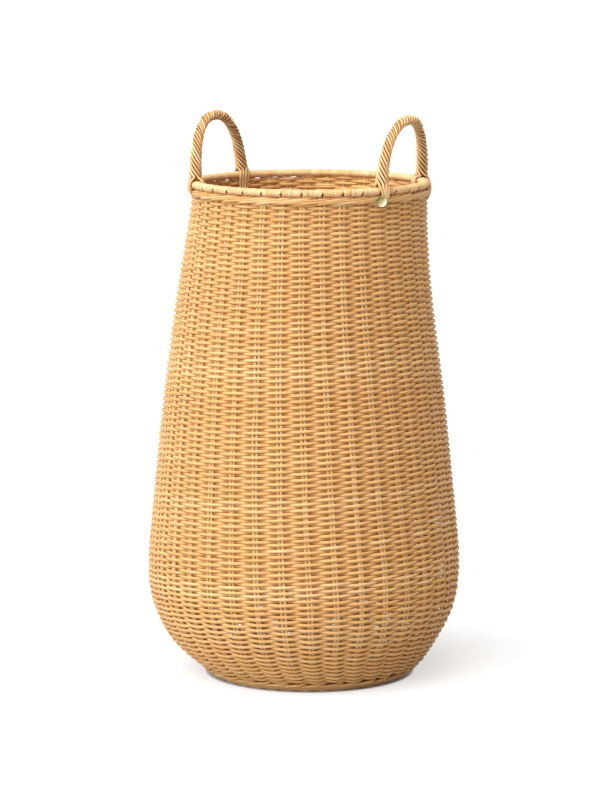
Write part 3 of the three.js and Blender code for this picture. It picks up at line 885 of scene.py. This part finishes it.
def tail_points(handle, end, slot):
    """A strand's way from the rope down past the rim: four strands run outside it and four inside."""
    foot, outward, along = leg_frame(handle, end)
    outer = slot < STRANDS / 2
    way = 1 if outer else -1
    rank = slot if outer else STRANDS - 1 - slot
    stations = OUTER_TAIL if outer else INNER_TAIL
    points = []
    for index, station in enumerate(stations):
        share = index / (len(stations) - 1)
        reach, height = station["reach"], station["height"]
        if outer:
            reach += handle["legs"][end]["bulge"] * np.sin(np.pi * share)
            height -= handle["legs"][end]["drop"] * share
        side = (rank - (STRANDS / 2 - 1) / 2) * station["spacing"] * end + way * station["shift"]
        points.append(foot + way * reach * outward + side * along + [0, 0, height])
    return np.array(points)


def tail_normal(handle, end, slot):
    outward = leg_frame(handle, end)[1]
    return outward if slot < STRANDS / 2 else -outward


def rope_lay(route):
    """Along a handle: nearness to its crown, and the strands' turn in degrees, distance out and width."""
    share = np.linspace(0, 1, len(route))
    crown = np.sin(np.pi * share) ** 2
    rate = LEG_RATE + CROWN_RATE * crown
    twist = np.concatenate([[0], np.cumsum(rate[1:] + rate[:-1])])
    twist = 360 * LAY_TURNS * twist / twist[-1]
    near_foot = np.clip(1 - np.minimum(share, 1 - share) / FOOT_SHARE, 0, 1)
    lay = LEG_LAY + (CROWN_LAY - LEG_LAY) * crown + (FOOT_LAY - LEG_LAY) * near_foot
    length = np.linalg.norm(np.diff(route, axis=0), axis=1).sum()
    pitch = length / (len(route) - 1) / np.gradient(twist / 360)
    width = np.pi * lay / STRANDS * np.cos(np.arctan(2 * np.pi * lay / pitch))
    return crown, twist, lay, width


def rope_strand(handle, route, slot):
    """One strand of a handle: a tail, its lay round the rope, and a tail on the other leg."""
    crown, twist, lay, width = rope_lay(route)
    outward = np.array([1.0, 0, 0])
    beyond = unit(np.cross(unit(np.gradient(route, axis=0)), outward))
    leg_angle = np.degrees(np.arcsin(handle["half_span"] / RIM_RADIUS))
    angle = np.radians(leg_angle + (slot + 0.5 - STRANDS / 4) * 360 / STRANDS + twist)
    radial = np.cos(angle)[:, None] * outward - np.sin(angle)[:, None] * beyond
    # Over the crown every other strand sinks between its neighbours
    sunk = crown * (slot % 2)
    laid = route + (lay - CROWN_SINK * sunk)[:, None] * radial

    last_slot = (slot + round(LAY_TURNS * STRANDS)) % STRANDS
    before = tail_points(handle, -1, slot)[::-1]
    after = tail_points(handle, 1, last_slot)
    head = smooth_curve(np.vstack([before, laid[:3:2]]), TAIL_STEPS)[: -TAIL_STEPS - 1]
    tail = smooth_curve(np.vstack([laid[-3::2], after]), TAIL_STEPS)[TAIL_STEPS + 1 :]
    blend_in = np.linspace(0, 1, len(head))[:, None]
    blend_out = np.linspace(1, 0, len(tail))[:, None]
    normal = np.vstack([
        tail_normal(handle, -1, slot) * (1 - blend_in) + radial[0] * blend_in,
        radial,
        tail_normal(handle, 1, last_slot) * (1 - blend_out) + radial[-1] * blend_out,
    ])
    half_width = np.concatenate([
        np.full(len(head), TAIL_HALF_WIDTH),
        np.clip(STRAND_SQUEEZE * width, *STRAND_HALF_WIDTHS),
        np.full(len(tail), TAIL_HALF_WIDTH),
    ])
    # Painted shade: the strands sunk between their neighbours over the crown take a darker tone
    tone = rng.uniform(*ROPE_TONES) - CROWN_PAINTED_SHADE * np.pad(sunk, (len(head), len(tail)))
    path = np.vstack([head, laid, tail])
    return strand(path, normal, half_width, tone, flatness=1 / STRAND_SQUEEZE, painted_shade=ROPE_PAINTED_SHADE)


def rope_core(handle, route):
    legs = [leg_frame(handle, end)[0] + [0, 0, CORE_FOOT] for end in (-1, 1)]
    middle = np.vstack([legs[0], route, legs[1]])
    # Painted shade: the core takes the darkest tone, so the gaps between the strands show dark
    return strand(middle, np.broadcast_to(np.array([1.0, 0, 0]), middle.shape), CORE_RADIUS, 0)


def make_handle(handle):
    route = arch_route(handle)
    strands = [rope_strand(handle, route, slot) for slot in range(STRANDS)]
    rope = joined([*strands, rope_core(handle, route)])
    turn = np.radians(handle["turn"])
    spin = np.array([[np.cos(turn), -np.sin(turn), 0], [np.sin(turn), np.cos(turn), 0], [0, 0, 1]])
    rope["points"] = swayed(rope["points"] @ spin.T)
    nodes = [handle["name"] + "_core"]
    nodes += [handle["name"] + "_strand_" + str(slot + 1) for slot in range(STRANDS)]
    piece(handle["name"] + "_rope", rope, ROPE, nodes)


# Stud: the nodes of the frame that stay, in polished brass with painted reflection on the disc, dark olive
# on one side and near-white on the other
STUD_FACING = 31.5
PAINTED_REFLECTION_LEFT = 0.75
PAINTED_REFLECTION_UP = 0.66
PAINTED_REFLECTION_REACH = 0.9
PAINTED_REFLECTION_MIDDLE = 0.45
DISC_ROUGHNESS = 0.2
PIN_ROUGHNESS = 0.3
BRASS_SPECKS = 600


def brass(name, dark, pale, roughness):
    """Brass whose colour runs from pale to dark; gives the material, its nodes and links, and the ramp."""
    material, nodes, links, shader = new_material(name, roughness)
    shader.inputs["Metallic"].default_value = 1
    ramp = nodes.new("ShaderNodeValToRGB")
    ramp.color_ramp.elements[0].color = linear(*pale)
    ramp.color_ramp.elements[1].color = linear(*dark)
    links.new(ramp.outputs["Color"], shader.inputs["Base Color"])
    return material, nodes, links, ramp


def speckled_brass(name, dark, pale):
    material, nodes, links, ramp = brass(name, dark, pale, PIN_ROUGHNESS)
    texture = nodes.new("ShaderNodeTexNoise")
    texture.inputs["Scale"].default_value = BRASS_SPECKS
    links.new(texture.outputs["Fac"], ramp.inputs["Fac"])
    return material


def disc_brass(name, node):
    """Brass of the disc with painted reflection: dark olive that deepens towards the upper left of its edge,
    near-white towards the lower right.
    """
    corners = np.array([vertex.co for vertex in node.data.vertices])
    middle = (corners.min(axis=0) + corners.max(axis=0)) / 2
    radius = np.ptp(corners[:, 2]) / 2
    facing = np.radians(STUD_FACING)
    left = np.array([-np.cos(facing), -np.sin(facing), 0])
    painted_reflection_side = PAINTED_REFLECTION_LEFT * left + PAINTED_REFLECTION_UP * np.array([0, 0, 1])

    # Painted reflection: the colour runs from near-white at the lower right of the disc to dark olive at the
    # upper left
    material, nodes, links, ramp = brass(name, (74, 78, 52), (250, 246, 220), DISC_ROUGHNESS)
    place = nodes.new("ShaderNodeTexCoord")
    from_middle = nodes.new("ShaderNodeVectorMath")
    from_middle.operation = "SUBTRACT"
    from_middle.inputs[1].default_value = tuple(middle)
    links.new(place.outputs["Object"], from_middle.inputs[0])
    along = nodes.new("ShaderNodeVectorMath")
    along.operation = "DOT_PRODUCT"
    along.inputs[1].default_value = tuple(painted_reflection_side / radius)
    links.new(from_middle.outputs["Vector"], along.inputs[0])
    share = nodes.new("ShaderNodeMapRange")
    share.inputs["From Min"].default_value = -PAINTED_REFLECTION_REACH
    share.inputs["From Max"].default_value = PAINTED_REFLECTION_REACH
    links.new(along.outputs["Value"], share.inputs["Value"])
    links.new(share.outputs["Result"], ramp.inputs["Fac"])
    centre = ramp.color_ramp.elements.new(PAINTED_REFLECTION_MIDDLE)
    centre.color = linear(190, 178, 122)
    return material


def finish_stud():
    finishes = {
        "stud_disc": disc_brass("disc_brass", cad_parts["stud_disc"]),
        "stud_post": speckled_brass("post_brass", (150, 122, 70), (196, 168, 110)),
        "stud_cap": speckled_brass("pin_brass", (128, 88, 44), (176, 136, 78)),
    }
    for name, material in finishes.items():
        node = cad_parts[name]
        node.data.materials.clear()
        node.data.materials.append(material)


# Scene: lamps stand far away, so many degrees beside the camera and up
WHITE = (1, 1, 1)
WARM = (1, 0.7, 0.4)
LAMPS = [
    {"name": "key", "beside": -45, "elevation": 44, "spread": 80, "strength": 4.5, "colour": WHITE},
    {"name": "top", "beside": 0, "elevation": 82, "spread": 70, "strength": 0.95, "colour": WHITE},
    {"name": "fill", "beside": 65, "elevation": 20, "spread": 90, "strength": 0.45, "colour": WARM},
]
WORLD_LIGHT = 0.11
FLOOR_GREY = 0.46
FLOOR_LIFT = 0.6
FLOOR_HALF = 200
CONTACT_REACH = 5
CONTACT_POWER = 2


def make_camera():
    data = bpy.data.cameras.new("camera")
    data.sensor_width = SENSOR
    data.lens = FOCAL_PIXELS * SENSOR / FRAME_HEIGHT
    data.clip_start = 0.1
    data.clip_end = 500
    camera = bpy.data.objects.new("camera", data)
    angle = np.radians(VIEW_AZIMUTH)
    away = np.array([np.sin(angle), -np.cos(angle)]) * VIEW_DISTANCE
    side = np.array([np.cos(angle), np.sin(angle)]) * VIEW_SIDE
    camera.location = (*((away + side) * MM), VIEW_HEIGHT * MM)
    camera.rotation_euler = (np.radians(90 - VIEW_PITCH), 0, angle)
    bpy.context.scene.collection.objects.link(camera)
    bpy.context.scene.camera = camera


def seen_directly(nodes, links):
    """Gives 1 for what the camera sees, also in gloss or glass, and 0 for what only lights the basket."""
    path = nodes.new("ShaderNodeLightPath")
    total = path.outputs["Is Camera Ray"]
    for name in ("Is Glossy Ray", "Is Transmission Ray"):
        larger = nodes.new("ShaderNodeMath")
        larger.operation = "MAXIMUM"
        links.new(total, larger.inputs[0])
        links.new(path.outputs[name], larger.inputs[1])
        total = larger.outputs["Value"]
    return total


def lifted(nodes, links, low, high):
    """The high value for what the camera sees and the low one for the light on the basket."""
    lift = nodes.new("ShaderNodeMapRange")
    lift.inputs["To Min"].default_value = low
    lift.inputs["To Max"].default_value = high
    links.new(seen_directly(nodes, links), lift.inputs["Value"])
    return lift.outputs["Result"]


def make_world():
    world = bpy.data.worlds.new("studio")
    world.use_nodes = True
    bpy.context.scene.world = world
    nodes, links = world.node_tree.nodes, world.node_tree.links
    background = nodes["Background"]
    background.inputs["Color"].default_value = (*WHITE, 1)
    links.new(lifted(nodes, links, WORLD_LIGHT, 1), background.inputs["Strength"])


def make_floor():
    mesh = bpy.data.meshes.new("floor")
    corners = [(x * FLOOR_HALF, y * FLOOR_HALF, 0) for x, y in ((-1, -1), (1, -1), (1, 1), (-1, 1))]
    mesh.from_pydata(corners, [], [(0, 1, 2, 3)])
    floor = bpy.data.objects.new("floor", mesh)
    bpy.context.scene.collection.objects.link(floor)
    material, nodes, links, shader = new_material("floor", 1)
    shader.inputs["Base Color"].default_value = (FLOOR_GREY, FLOOR_GREY, FLOOR_GREY, 1)
    shader.inputs["Specular IOR Level"].default_value = 0
    shader.inputs["Emission Color"].default_value = (*WHITE, 1)
    # The lift fades where the basket stands close over the floor, so its contact stays dark
    open_sky = nodes.new("ShaderNodeAmbientOcclusion")
    open_sky.inputs["Distance"].default_value = CONTACT_REACH * MM
    contact = nodes.new("ShaderNodeMath")
    contact.operation = "POWER"
    contact.inputs[1].default_value = CONTACT_POWER
    links.new(open_sky.outputs["AO"], contact.inputs[0])
    strength = nodes.new("ShaderNodeMath")
    strength.operation = "MULTIPLY"
    links.new(lifted(nodes, links, 0, FLOOR_LIFT), strength.inputs[0])
    links.new(contact.outputs["Value"], strength.inputs[1])
    links.new(strength.outputs["Value"], shader.inputs["Emission Strength"])
    mesh.materials.append(material)


def add_lamp(lamp):
    """A soft light from far away, which lights the whole floor evenly."""
    data = bpy.data.lights.new(lamp["name"], "SUN")
    data.angle = np.radians(lamp["spread"])
    data.energy = lamp["strength"]
    data.color = lamp["colour"]
    light = bpy.data.objects.new(lamp["name"], data)
    light.location = (0, 0, 3)
    azimuth = VIEW_AZIMUTH + lamp["beside"]
    light.rotation_euler = (np.radians(90 - lamp["elevation"]), 0, np.radians(azimuth))
    bpy.context.scene.collection.objects.link(light)


bpy.context.scene.view_settings.view_transform = "Standard"

make_wall()
make_stakes()
make_top_wale()
make_foot()
make_base_sticks()
make_base_weave()
make_rim_binding()
make_rim_hoops()
for handle in HANDLES:
    make_handle(handle)
finish_stud()

make_camera()
make_world()
make_floor()
for lamp in LAMPS:
    add_lamp(lamp)
